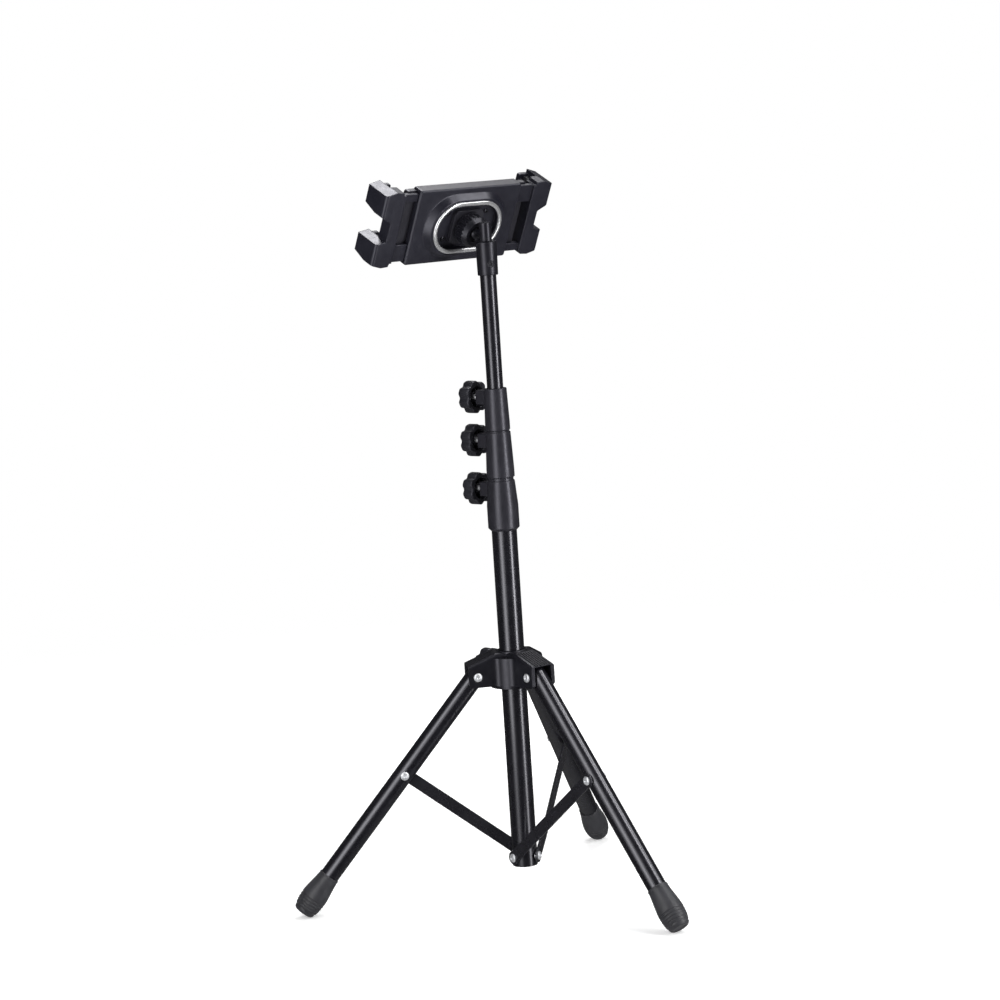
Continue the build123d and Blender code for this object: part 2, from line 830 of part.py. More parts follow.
# Slotted socket that closes round the ball
with BuildPart() as ball_socket:
    with BuildSketch(holder.offset(socket_front)):
        Circle(socket_r)
    extrude(amount=recess_floor - socket_front)
    with BuildSketch(holder.offset(socket_flange)):
        RectangleRounded(2 * socket_flange_r, 2 * socket_flange_r, 5)
    extrude(amount=recess_floor - socket_flange)
    with Locations(holder.location):
        Sphere(ball_r + slide_gap, mode=Mode.SUBTRACT)
    with BuildSketch(holder.offset(socket_front)):
        Rectangle(3 * socket_r, 1.4)
        Rectangle(1.4, 3 * socket_r)
    extrude(amount=7.5, mode=Mode.SUBTRACT)
keep(ball_socket.part, "ball_socket")

# Back cover: shallow box with the raised oval mound, its recess and the arms' doorways
half_w = cover_width / 2
with BuildPart() as back_cover:
    with BuildSketch(holder.offset(cover_back)):
        RectangleRounded(cover_width, cover_height, 2.4)
    extrude(amount=cover_depth)
    back_rim = back_cover.faces().sort_by(Axis(holder.origin, holder.z_dir))[0].edges()
    chamfer(back_rim, cover_edge)
    with BuildSketch(holder.offset(cover_back)):
        SlotOverall(hill_width, hill_height)
    with BuildSketch(holder.offset(cover_back - hill_rise)):
        SlotOverall(hill_width - 2 * hill_slope, hill_height - 2 * hill_slope)
    loft(ruled=True)
    with BuildSketch(holder.offset(cover_back - hill_rise - 1)):
        SlotOverall(ring_width - 2 * ring_band, ring_height - 2 * ring_band)
    extrude(amount=recess_floor - cover_back + hill_rise + 1, mode=Mode.SUBTRACT)
    with BuildSketch(holder.offset(cover_back - hill_rise - 1)):
        SlotOverall(ring_width, ring_height)
    extrude(amount=2.0, mode=Mode.SUBTRACT)
    with BuildSketch(holder.offset(cover_front)):
        Rectangle(cover_width - 2 * cover_wall, cover_height - 2 * cover_wall)
    extrude(amount=cover_floor - cover_front, mode=Mode.SUBTRACT)
    with BuildSketch(holder.offset(cover_front)):
        Rectangle(cover_width + 2, cover_height - 2 * cover_wall)
    extrude(amount=rail_front - cover_front, mode=Mode.SUBTRACT)
    for way in (1, -1):
        with BuildSketch(holder.offset(cover_floor)):
            with Locations((way * half_w, way * (rail_edge - rail_narrow / 2))):
                Rectangle(3 * cover_wall, rail_narrow + 0.8)
            with Locations((way * half_w, -way * (rail_edge - rail_wide / 2))):
                Rectangle(3 * cover_wall, rail_wide + 0.8)
        extrude(amount=rail_front - cover_floor, mode=Mode.SUBTRACT)
    with BuildSketch(holder.offset(cover_floor)):
        with GridLocations(2 * screw_x, 2 * screw_y, 2, 2):
            Circle(3.6)
    extrude(amount=plate_back - cover_floor)
    with BuildSketch(holder.offset(recess_floor)):
        with GridLocations(2 * screw_x, 2 * screw_y, 2, 2):
            Circle(1.4)
    extrude(amount=cover_depth, mode=Mode.SUBTRACT)
keep(back_cover.part, "back_cover")

# Bright trim ring in its seat on the mound
with BuildPart() as trim_ring:
    with BuildSketch(holder.offset(cover_back - hill_rise + 1)):
        SlotOverall(ring_width, ring_height)
        SlotOverall(ring_width - 2 * ring_band, ring_height - 2 * ring_band, mode=Mode.SUBTRACT)
    extrude(amount=-(ring_proud + 1))
    ring_face = trim_ring.faces().sort_by(Axis(holder.origin, holder.z_dir))[0]
    chamfer(ring_face.edges(), ring_edge)
keep(trim_ring.part, "trim_ring")

with BuildPart() as cover_screws:
    with BuildSketch(holder.offset(recess_floor)):
        with GridLocations(2 * screw_x, 2 * screw_y, 2, 2):
            Circle(screw_head_r)
    extrude(amount=-1.5, taper=15)
    with BuildSketch(holder.offset(recess_floor - 1.5)):
        with GridLocations(2 * screw_x, 2 * screw_y, 2, 2):
            Rectangle(2.6, 0.7)
            Rectangle(0.7, 2.6)
    extrude(amount=0.8, mode=Mode.SUBTRACT)
    with BuildSketch(holder.offset(recess_floor)):
        with GridLocations(2 * screw_x, 2 * screw_y, 2, 2):
            Circle(1.4)
    extrude(amount=plate_back + 3 - recess_floor)
keep(cover_screws.part, "cover_screws")

# Front plate that closes the housing and bears the device's back
with BuildPart() as front_plate:
    with BuildSketch(holder.offset(plate_back)):
        RectangleRounded(plate_width, cover_height - 2 * cover_wall - 0.1, 2.5)
    extrude(amount=plate_front - plate_back)
    front_rim = front_plate.faces().sort_by(Axis(holder.origin, holder.z_dir))[-1].edges()
    chamfer(front_rim, cover_edge)
    with BuildSketch(holder.offset(plate_back)):
        with GridLocations(2 * screw_x, 2 * screw_y, 2, 2):
            Circle(1.4)
    extrude(amount=3, mode=Mode.SUBTRACT)
keep(front_plate.part, "front_plate")

with BuildPart() as front_pads:
    with BuildSketch(holder.offset(plate_front)):
        with GridLocations(front_pad_apart, 0, 2, 1):
            RectangleRounded(front_pad_width, front_pad_length, front_pad_round)
    extrude(amount=pad_thick)
keep(front_pads.part, "front_pads")

# Clamp arms, each with a sloped step under its upper hook and a shallow one over its lower hook


def arm_side(root):
    """Half of an arm's back outline, from its rail to its waist."""
    return [
        (bar_in, rail_edge),
        (bar_in + 2.5, rail_edge),
        (bar_in + 3.5, bar_end - 0.6),
        (bar_out, bar_end),
        (hook_out, hook_far),
        (hook_out, hook_near),
        (bar_out + 0.6, hook_near - root + 0.2),
        (bar_out, bar_waist),
    ]


def build_arm(name, frame_plane, up):
    """Sliding arm: two unequal rails, bar, and two hooks with lips and rubber pads."""
    normal = Axis(frame_plane.origin, frame_plane.z_dir)
    upper_side = [(x, up * y) for x, y in arm_side(hook_root)]
    lower_side = [(x, -up * y) for x, y in reversed(arm_side(hook_step))]
    with BuildPart() as arm:
        with BuildSketch(frame_plane.offset(cover_back)):
            with BuildLine():
                Polyline(upper_side + lower_side, close=True)
            make_face()
        extrude(amount=plate_front - cover_back)
        back_edges = arm.faces().sort_by(normal)[0].outer_wire().edges()
        outwards = Axis(frame_plane.origin, frame_plane.x_dir)
        fillet(back_edges.group_by(outwards)[-1], hook_side_round)
        for way, root in ((up, hook_root), (-up, hook_step)):
            for level, taper, lean in ((plate_front, 0, 0), (hook_front, hook_taper, up * hook_lean)):
                with BuildSketch(frame_plane.offset(level)):
                    with BuildLine():
                        Polyline(
                            (bar_out, way * (bar_end - taper) + lean),
                            (hook_out, way * (hook_far - taper) + lean),
                            (hook_out, way * (hook_near + taper) + lean),
                            (bar_out, way * (hook_near - root + taper) + lean),
                            close=True,
                        )
                    make_face()
            loft(ruled=True)
            with BuildSketch(frame_plane.offset(hook_front - lip_thick)):
                with Locations(((lip_in + bar_out) / 2 + 0.5, way * lip_middle + up * hook_lean)):
                    RectangleRounded(bar_out - lip_in + 1, lip_width, 2)
            extrude(amount=lip_thick)
        with BuildSketch(frame_plane.offset(rail_back)):
            with Locations(((rail_end + bar_in) / 2, rail_edge - rail_narrow / 2)):
                Rectangle(bar_in - rail_end + 1, rail_narrow)
            with Locations(((rail_end + bar_in) / 2, -rail_edge + rail_wide / 2)):
                Rectangle(bar_in - rail_end + 1, rail_wide)
        extrude(amount=rail_thick)
    keep(arm.part, name)
    with BuildPart() as pads:
        with BuildSketch(frame_plane.offset(plate_front)):
            for way in (1, -1):
                with Locations(((jaw_pad_in + bar_out) / 2, way * lip_middle)):
                    Rectangle(bar_out - jaw_pad_in, jaw_pad_width)
        extrude(amount=hook_front - lip_thick - plate_front)
        with BuildSketch(frame_plane.offset(plate_front)):
            for way in (1, -1):
                with Locations((jaw_pad_in, way * lip_middle)):
                    with GridLocations(0, jaw_pad_width / (jaw_pad_ribs + 0.5), 1, jaw_pad_ribs):
                        Rectangle(1.2, 1.4)
        extrude(amount=hook_front - lip_thick - plate_front, mode=Mode.SUBTRACT)
    keep(pads.part, name + "_pads")


build_arm("arm_right", holder, 1)
turned_holder = Plane(origin=holder.origin, x_dir=-holder.x_dir, z_dir=holder.z_dir)
build_arm("arm_left", turned_holder, -1)
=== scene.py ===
"""The looks of a folding floor stand for a tablet: finishes, fine detail, light and camera."""
import json
from math import cos, pi, radians, sin, sqrt

import bmesh
import bpy
from mathutils import Matrix, Vector


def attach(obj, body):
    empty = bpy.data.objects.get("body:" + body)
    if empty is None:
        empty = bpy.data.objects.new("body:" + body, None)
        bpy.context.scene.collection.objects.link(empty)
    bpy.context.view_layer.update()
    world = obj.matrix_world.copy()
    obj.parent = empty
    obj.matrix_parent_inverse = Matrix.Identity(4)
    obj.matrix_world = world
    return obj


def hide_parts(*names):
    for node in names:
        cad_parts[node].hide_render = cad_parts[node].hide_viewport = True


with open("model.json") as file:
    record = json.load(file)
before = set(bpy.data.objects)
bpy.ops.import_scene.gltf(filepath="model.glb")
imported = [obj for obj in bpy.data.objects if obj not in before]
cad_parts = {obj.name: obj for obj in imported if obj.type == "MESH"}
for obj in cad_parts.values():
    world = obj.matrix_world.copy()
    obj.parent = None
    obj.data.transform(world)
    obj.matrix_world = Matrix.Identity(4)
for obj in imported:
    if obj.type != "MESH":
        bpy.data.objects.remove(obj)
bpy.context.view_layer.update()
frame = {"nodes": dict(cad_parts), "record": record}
nodes = frame["nodes"]

# Camera, found by fitting the photograph: its place in metres and degrees, its lens in millimetres,
# and how it turns from facing the pole in radians
eye_distance = 2.82264
eye_height = 0.76503
camera_azimuth = 51.08
far_clip = 50.0
lens = 104.19
sensor = 36.0
yaw = -0.0008
pitch = -0.129
roll = -0.0636


def camera_axes():
    """Right, up and forward of the camera, in the row frame."""
    forward = Vector((sin(yaw) * cos(pitch), cos(yaw) * cos(pitch), sin(pitch)))
    level = forward.cross(Vector((0, 0, 1))).normalized()
    upright = level.cross(forward)
    right = level * cos(roll) + upright * sin(roll)
    up = upright * cos(roll) - level * sin(roll)
    turn = Matrix.Rotation(radians(camera_azimuth) + pi / 2, 3, "Z")
    return turn @ right, turn @ up, turn @ forward


def make_camera():
    """The photograph's camera."""
    right, up, forward = camera_axes()
    azimuth = radians(camera_azimuth)
    eye = Vector((eye_distance * cos(azimuth), eye_distance * sin(azimuth), eye_height))
    data = bpy.data.cameras.new("camera")
    data.lens = lens
    data.sensor_width = sensor
    data.clip_end = far_clip
    camera = bpy.data.objects.new("camera", data)
    bpy.context.scene.collection.objects.link(camera)
    turned = Matrix((right, up, -forward)).transposed().to_4x4()
    camera.matrix_world = Matrix.Translation(eye) @ turned
    bpy.context.scene.camera = camera


make_camera()


# An edge is fully paler, as wear and as a painted highlight, where the rounded and the true normal
# have this dot product, and flat at this one
pale_edge_dot = 0.80
flat_dot = 0.995
bevel_samples = 6

# Places of a Mix node's sockets: its two colours and their blend, its two numbers and theirs
colour_a, colour_b, colour_out = 6, 7, 2
number_a, number_b, number_out = 2, 3, 0


class Finish:
    """One node material with a Principled shader and the object's own coordinates.

    Noise scales are in repeats per metre. Bump distances and edge radii are in metres.
    """

    def __init__(self, name, **sockets):
        self.material = bpy.data.materials.new(name)
        self.material.use_nodes = True
        self.tree = self.material.node_tree
        self.shader = self.tree.nodes["Principled BSDF"]
        self.coords = self.tree.nodes.new("ShaderNodeTexCoord")
        self.normal = None
        for socket, value in sockets.items():
            title = socket.replace("_", " ").title().replace("Ior", "IOR")
            self.shader.inputs[title].default_value = value

    def node(self, kind, **settings):
        made = self.tree.nodes.new(kind)
        for key, value in settings.items():
            setattr(made, key, value)
        return made

    def link(self, a, b):
        self.tree.links.new(a, b)

    def noise(self, scale, detail, rough=0.5):
        """A noise value from 0 to 1."""
        made = self.node("ShaderNodeTexNoise")
        made.inputs["Scale"].default_value = scale
        made.inputs["Detail"].default_value = detail
        made.inputs["Roughness"].default_value = rough
        self.link(self.coords.outputs["Object"], made.inputs["Vector"])
        return made.outputs["Fac"]

    def ramp(self, value, low, high, start=0.35, end=0.65):
        """Maps a value, by default the middle of a noise's range, to between low and high."""
        made = self.node("ShaderNodeMapRange")
        made.inputs["From Min"].default_value = start
        made.inputs["From Max"].default_value = end
        made.inputs["To Min"].default_value = low
        made.inputs["To Max"].default_value = high
        self.link(value, made.inputs["Value"])
        return made.outputs["Result"]

    def blend(self, factor, first, second):
        """A colour between two, each a colour or a socket."""
        made = self.node("ShaderNodeMix", data_type="RGBA")
        self.link(factor, made.inputs["Factor"])
        for index, value in ((colour_a, first), (colour_b, second)):
            if hasattr(value, "is_linked"):
                self.link(value, made.inputs[index])
            else:
                made.inputs[index].default_value = (*value, 1)
        return made.outputs[colour_out]

    def bump(self, height, strength, distance):
        """Adds a bump over whatever normal there is so far."""
        made = self.node("ShaderNodeBump")
        made.inputs["Strength"].default_value = strength
        made.inputs["Distance"].default_value = distance
        self.link(height, made.inputs["Height"])
        if self.normal is not None:
            self.link(self.normal, made.inputs["Normal"])
        self.normal = made.outputs["Normal"]

    def round_edges(self, radius):
        """Rounds sharp edges in the shading, and returns how near an edge each point is."""
        soft = self.node("ShaderNodeBevel", samples=bevel_samples)
        soft.inputs["Radius"].default_value = radius
        self.normal = soft.outputs["Normal"]
        plain = self.node("ShaderNodeNewGeometry")
        dot = self.node("ShaderNodeVectorMath", operation="DOT_PRODUCT")
        self.link(soft.outputs["Normal"], dot.inputs[0])
        self.link(plain.outputs["Normal"], dot.inputs[1])
        # How near an edge each point is, which later sets the paler edge colour: wear and a painted
        # highlight
        return self.ramp(dot.outputs["Value"], 1.0, 0.0, pale_edge_dot, flat_dot)

    def paint(self, edge, wear_and_highlight, body, worn_and_highlit):
        """The body colour, blended at the edges by up to the given amount towards a paler colour
        that is wear and partly a painted highlight.
        """
        self.colour(self.blend(self.ramp(edge, 0, wear_and_highlight, 0, 1), body, worn_and_highlit))

    def colour(self, socket):
        self.link(socket, self.shader.inputs["Base Color"])

    def roughness(self, socket):
        self.link(socket, self.shader.inputs["Roughness"])

    def done(self):
        if self.normal is not None:
            self.link(self.normal, self.shader.inputs["Normal"])
        return self.material


def enamel(name, dark, light):
    """Gloss black stove enamel over steel, with a slight orange peel."""
    f = Finish(
        name,
        ior=1.5,
        specular_ior_level=0.65,
        specular_tint=(0.88, 0.87, 1, 1),
        coat_weight=0.85,
        coat_roughness=0.19,
    )
    edge = f.round_edges(radius=0.0004)
    body = f.blend(f.ramp(f.noise(scale=28, detail=4), 0, 1), dark, light)
    # Paler edges: wear and partly a painted highlight
    f.paint(edge, wear_and_highlight=0.6, body=body, worn_and_highlit=(0.02, 0.02, 0.026))
    f.roughness(f.ramp(f.noise(scale=90, detail=4), low=0.25, high=0.31))
    f.bump(f.noise(scale=110, detail=2), strength=0.05, distance=0.0001)
    return f.done()


def moulded(name, dark, light, low, high, edge_radius, grain=2400, depth=0.00001, **sockets):
    """Moulded plastic or cast metal with a fine eroded grain, paler along its edges, as wear and as
    a painted highlight.
    """
    f = Finish(name, ior=1.55, specular_tint=(0.9, 0.89, 1, 1), **sockets)
    edge = f.round_edges(edge_radius)
    body = f.blend(f.ramp(f.noise(scale=40, detail=4), 0, 1), dark, light)
    # Paler edges: wear and partly a painted highlight
    f.paint(edge, wear_and_highlight=0.6, body=body, worn_and_highlit=tuple(c * 1.8 + 0.006 for c in light))
    f.roughness(f.ramp(f.noise(scale=160, detail=5, rough=0.6), low, high))
    f.bump(f.noise(grain, detail=3, rough=0.6), strength=0.4, distance=depth)
    return f.done()


def rubber():
    """Matt black rubber with a soft bloom."""
    f = Finish("boot_rubber", ior=1.5, sheen_weight=0.08, sheen_roughness=0.5)
    edge = f.round_edges(radius=0.0005)
    cloud = f.ramp(f.noise(scale=60, detail=5, rough=0.7), 0, 1)
    body = f.blend(cloud, (0.02, 0.02, 0.024), (0.032, 0.032, 0.038))
    # Paler edges: wear and partly a painted highlight
    f.paint(edge, wear_and_highlight=0.5, body=body, worn_and_highlit=(0.055, 0.055, 0.062))
    f.roughness(f.ramp(f.noise(scale=240, detail=4), low=0.4, high=0.52))
    f.bump(f.noise(scale=1800, detail=4, rough=0.7), strength=0.35, distance=0.00003)
    return f.done()


def metal(name, dark, light, low, high, metallic):
    """Bright metal, slightly clouded by handling."""
    f = Finish(name, metallic=metallic)
    f.round_edges(radius=0.0002)
    f.colour(f.blend(f.ramp(f.noise(scale=180, detail=4), 0, 1), dark, light))
    f.roughness(f.ramp(f.noise(scale=400, detail=4, rough=0.6), low, high))
    f.bump(f.noise(scale=300, detail=3, rough=0.6), strength=0.05, distance=0.00002)
    return f.done()


# A finish for each material slot of the record, its colour clouded between a dark and a light
finishes = {
    "black_steel": enamel(
        "black_enamel", dark=(0.0028, 0.0027, 0.0045), light=(0.005, 0.0048, 0.0072)
    ),
    "black_plastic": moulded(
        "housing_plastic",
        dark=(0.0155, 0.0152, 0.0195),
        light=(0.0205, 0.02, 0.0255),
        low=0.29,
        high=0.36,
        edge_radius=0.0006,
    ),
    "knob_plastic": moulded(
        "knob_plastic",
        dark=(0.013, 0.013, 0.0165),
        light=(0.019, 0.019, 0.0235),
        low=0.3,
        high=0.38,
        edge_radius=0.0005,
    ),
    "rubber": rubber(),
    "zinc": metal(
        "zinc_plate",
        dark=(0.66, 0.67, 0.7),
        light=(0.82, 0.83, 0.86),
        low=0.28,
        high=0.38,
        metallic=0.65,
    ),
    "bright_trim": metal(
        "satin_chrome",
        dark=(0.86, 0.86, 0.88),
        light=(0.94, 0.94, 0.96),
        low=0.2,
        high=0.26,
        metallic=0.85,
    ),
    "black_metal": moulded(
        "black_cast",
        dark=(0.0035, 0.0035, 0.0055),
        light=(0.0065, 0.0065, 0.0095),
        low=0.3,
        high=0.38,
        edge_radius=0.0003,
    ),
}

# Finishes of single nodes, which differ a little from their slot's in the photograph; the hub's and
# lock nut's darker copy is painted shade, the struts' lighter copy painted light
cover_finish = moulded(
    "cover_plastic",
    dark=(0.0095, 0.0095, 0.015),
    light=(0.014, 0.014, 0.0205),
    low=0.29,
    high=0.36,
    edge_radius=0.0014,
    grain=1200,
    depth=0.000006,
)
blackened = moulded(
    "blackened_screw",
    dark=(0.02, 0.02, 0.024),
    light=(0.035, 0.035, 0.04),
    low=0.22,
    high=0.34,
    edge_radius=0.0002,
    metallic=0.7,
)
# A darker copy of the housing plastic for the hub and the lock nut: painted shade
shaded_black = moulded(
    "shaded_black_plastic",
    dark=(0.0042, 0.0042, 0.0065),
    light=(0.0075, 0.0075, 0.0105),
    low=0.3,
    high=0.37,
    edge_radius=0.0003,
    grain=1200,
    depth=0.000006,
)
# A lighter copy of the black enamel for the struts: painted light
lit_strut_finish = enamel(
    "lit_strut_enamel", dark=(0.0095, 0.0092, 0.012), light=(0.0135, 0.0132, 0.0165)
)

slot_of = {part["node"]: part["material_slot"] for part in frame["record"]["subparts"]}
own_finish = {
    "back_cover": cover_finish,
    "arm_right": cover_finish,
    "arm_left": cover_finish,
    "cover_screws": blackened,
    "set_screw": blackened,
    "hub": shaded_black,
    "ball_nut": shaded_black,
    "strut_1": lit_strut_finish,
    "strut_2": lit_strut_finish,
    "strut_3": lit_strut_finish,
}
body_of_node = {}
for body_name, members in frame["record"]["behaviour"]["bodies"].items():
    for member in members:
        body_of_node[member] = body_name


def finish_of(node):
    """A CAD node's own finish, or else that of its material slot."""
    return own_finish.get(node, finishes[slot_of[node]])


for node in slot_of:
    for place in nodes[node].material_slots:
        place.material = finish_of(node)


# Sizes shared with the CAD, in millimetres
mm = 0.001
leg_azimuths = (90, 210, 330)
tilt = radians(40.36)
leg_length = 290.3
leg_r = 9.5
boot_length = 45.0
boot_end_r = 11.0
boot_end_round = 4.0
pivot_radius = 37.5
pivot_z = (
    leg_length * cos(tilt)
    + (boot_end_r - boot_end_round) * sin(tilt)
    + boot_end_round * (1 - cos(tilt))
)
strut_on_leg = 121.2
strut_foot_z = 40.3
strut_thick = 1.8
face_gap = 0.3
main_r = 12.5
strut_gap = 0.7
strut_foot_side = main_r + strut_gap
hub_half = 14.5
rivet_seat = 0.8
rivet_r = 2.5
knob_azimuth = -80
knob_cavity = 9.0
knob_dish_depth = 4.0
knob_standoff = 2.6
stud_r = 3.0
thread_pitch = 1.0
holder_tilt = radians(26.6)
ball_reach = 17.2
ball_z = 661.9

# The axis points of a turned form lie this far from its axis
least_r = 0.02


class Shape:
    """A mesh in metres, gathered from rings of points given in millimetres."""

    def __init__(self):
        self.points = []
        self.faces = []

    def skin(self, rings, place, loop=False):
        """Joins equal rings of points into one closed skin."""
        start = len(self.points)
        count = len(rings[0])
        for ring in rings:
            self.points.extend((place @ Vector(p)) * mm for p in ring)
        for row in range(len(rings) if loop else len(rings) - 1):
            low = start + row * count
            high = start + (row + 1) % len(rings) * count
            for k in range(count):
                after = (k + 1) % count
                self.faces.append((low + k, low + after, high + after, high + k))
        if not loop:
            last = start + (len(rings) - 1) * count
            self.faces.append(tuple(range(start + count - 1, start - 1, -1)))
            self.faces.append(tuple(range(last, last + count)))

    def turn(self, profile, place, count=48):
        """A turned form from (radius, height) pairs that start and end at the axis."""
        self.skin([circle(radius, height, count) for radius, height in profile], place)

    def piece(self, name, node, crease=35):
        """The finished object, which rides with the CAD node that it stands for."""
        mesh = bpy.data.meshes.new(name)
        mesh.from_pydata(self.points, [], self.faces)
        work = bmesh.new()
        work.from_mesh(mesh)
        bmesh.ops.recalc_face_normals(work, faces=work.faces)
        work.to_mesh(mesh)
        work.free()
        mesh.shade_smooth()
        mesh.set_sharp_from_angle(angle=radians(crease))
        mesh.materials.append(finish_of(node))
        made = bpy.data.objects.new(name, mesh)
        bpy.context.scene.collection.objects.link(made)
        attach(made, body_of_node[node])
        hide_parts(node)


def circle(radius, height, count):
    """A ring of points round the local z axis."""
    r = max(radius, least_r)
    return [
        (r * cos(2 * pi * k / count), r * sin(2 * pi * k / count), height) for k in range(count)
    ]


def placed(origin, across, out):
    """A placement in millimetres from its origin, its local x and its local z."""
    x = Vector(across)
    z = Vector(out)
    turned = Matrix((x, z.cross(x), z)).transposed().to_4x4()
    return Matrix.Translation(Vector(origin)) @ turned


def radial(azimuth, radius, height):
    """Local z outwards from the pole at an azimuth, local y up."""
    c = cos(radians(azimuth))
    s = sin(radians(azimuth))
    return placed((radius * c, radius * s, height), (-s, c, 0), (c, s, 0))


def sideways(azimuth, way, radius, side, height):
    """Local z across a leg's plane, towards its strut where way is 1."""
    c = cos(radians(azimuth))
    s = sin(radians(azimuth))
    out = Vector((way * s, -way * c, 0))
    origin = Vector((radius * c, radius * s, height)) + out * side
    return placed(origin, (c, s, 0), out)


def down_leg(azimuth):
    """Origin at a leg's pivot, local z down the leg."""
    c = cos(radians(azimuth))
    s = sin(radians(azimuth))
    return placed(
        (pivot_radius * c, pivot_radius * s, pivot_z),
        (cos(tilt) * c, cos(tilt) * s, sin(tilt)),
        (sin(tilt) * c, sin(tilt) * s, -cos(tilt)),
    )


def on_holder(x, y, depth):
    """A point on the holder, its local z out of the holder's back."""
    right = Vector((1, 0, 0))
    front = Vector((0, -cos(holder_tilt), sin(holder_tilt)))
    up = front.cross(right)
    origin = Vector((0, -ball_reach, ball_z)) + right * x + up * y + front * depth
    return placed(origin, right, -front)


# Domed rivet head with a small dimple, as radius against height over its seat
rivet_dome = [
    (4.4, 0),
    (4.36, 0.35),
    (4.15, 0.8),
    (3.6, 1.25),
    (2.9, 1.6),
    (2.2, 1.78),
    (1.75, 1.8),
    (1.4, 1.6),
    (1.2, 1.25),
    (1.0, 1.12),
    (0, 1.1),
]


def raised(profile, height):
    """A turned form's profile, moved along its axis."""
    return [(radius, h + height) for radius, h in profile]


def make_rivets():
    """Rivets of the hub, the legs, the struts and the main tube's foot."""
    hub = Shape()
    foot = Shape()
    foot_start = 11.4
    shoulder_r = 4.2
    head_seat = strut_foot_side + strut_thick + face_gap
    shoulder = strut_foot_side - face_gap
    foot_profile = [
        (0, foot_start),
        (shoulder_r, foot_start),
        (shoulder_r, shoulder),
        (rivet_r, shoulder),
        (rivet_r, head_seat),
    ]
    hub_seat = hub_half - rivet_seat
    hub_shank = [(0, 0), (rivet_r, 0), (rivet_r, hub_seat)]
    head_r = pivot_radius + strut_on_leg * sin(tilt)
    head_z = pivot_z - strut_on_leg * cos(tilt)
    strut_inside = leg_r + face_gap
    strut_seat = strut_inside + strut_thick
    strut_shank = [(0, strut_inside), (rivet_r, strut_inside), (rivet_r, strut_seat)]
    sink = 0.4
    collar_height = 1.5
    leg_seat = leg_r - sink
    leg_collar = leg_seat - collar_height
    leg_collar_r = 4.3
    leg_shank = [(0, -leg_r), (rivet_r, -leg_r), (rivet_r, leg_collar), (leg_collar_r, leg_collar)]
    for index, azimuth in enumerate(leg_azimuths):
        number = str(index + 1)
        for way in (1, -1):
            place = sideways(azimuth, way, pivot_radius, 0, pivot_z)
            hub.turn(hub_shank + raised(rivet_dome, hub_seat), place)
        place = radial(azimuth - 90, 0, strut_foot_z)
        foot.turn(foot_profile + raised(rivet_dome, head_seat), place)
        strut = Shape()
        place = sideways(azimuth, 1, head_r, 0, head_z)
        strut.turn(strut_shank + raised(rivet_dome, strut_seat), place)
        strut.piece("domed_strut_rivet_" + number, "strut_rivet_" + number)
        leg = Shape()
        place = sideways(azimuth, -1, head_r, 0, head_z)
        leg.turn(leg_shank + raised(rivet_dome, leg_seat), place)
        leg.piece("domed_leg_rivet_" + number, "leg_rivet_" + number)
    hub.piece("domed_hub_rivets", "hub_rivets")
    foot.piece("domed_foot_rivets", "base_rivets")


# Star knob: the lobed outline's inset against height, from the open face to the crown
knob_lobes = 7
knob_skin = [
    (1.1, 0),
    (0.6, 0.12),
    (0.2, 0.45),
    (0, 1.0),
    (0, 10.4),
    (0.18, 11.4),
    (0.65, 12.2),
    (1.4, 12.75),
    (2.5, 13.0),
]
knob_crown = [(9.5, 13.0), (8.9, 12.8), (8.6, 12.3), (8.2, 12.1), (0, 12.0)]

# The dish in the open face and its hub, as radius against height
knob_dish = [
    (11.2, 0),
    (10.8, 0.15),
    (10.6, 0.6),
    (10.6, knob_cavity),
    (5.4, knob_cavity),
    (5.2, knob_dish_depth + 0.4),
    (4.9, knob_dish_depth),
    (3.4, knob_dish_depth),
    (3.05, knob_dish_depth + 0.4),
    (3.05, knob_cavity),
    (0, knob_cavity),
]

# Half-width against height of a rib in the dish, and the radii that it runs between
rib_reach = (4.8, 10.9)
rib_top = knob_dish_depth + 0.3
rib_section = [
    (-0.6, knob_cavity),
    (-0.6, rib_top + 0.35),
    (-0.3, rib_top),
    (0.3, rib_top),
    (0.6, rib_top + 0.35),
    (0.6, knob_cavity),
]


def star_outline(samples=168, outer=16.2, flute_r=4.0, flute_out=17.8):
    """Radii of the lobed outline round the knob, its corners eased."""
    step = 2 * pi / knob_lobes
    sharp = []
    for k in range(samples):
        angle = (2 * pi * k / samples + step / 2) % step - step / 2
        side = flute_out * sin(angle)
        reach = outer
        if abs(side) < flute_r:
            reach = min(outer, flute_out * cos(angle) - sqrt(flute_r**2 - side**2))
        sharp.append(reach)
    width = 3
    eased = []
    for k in range(samples):
        near = [sharp[(k + d) % samples] * (width + 1 - abs(d)) for d in range(-width, width + 1)]
        eased.append(sum(near) / (width + 1) ** 2)
    return eased


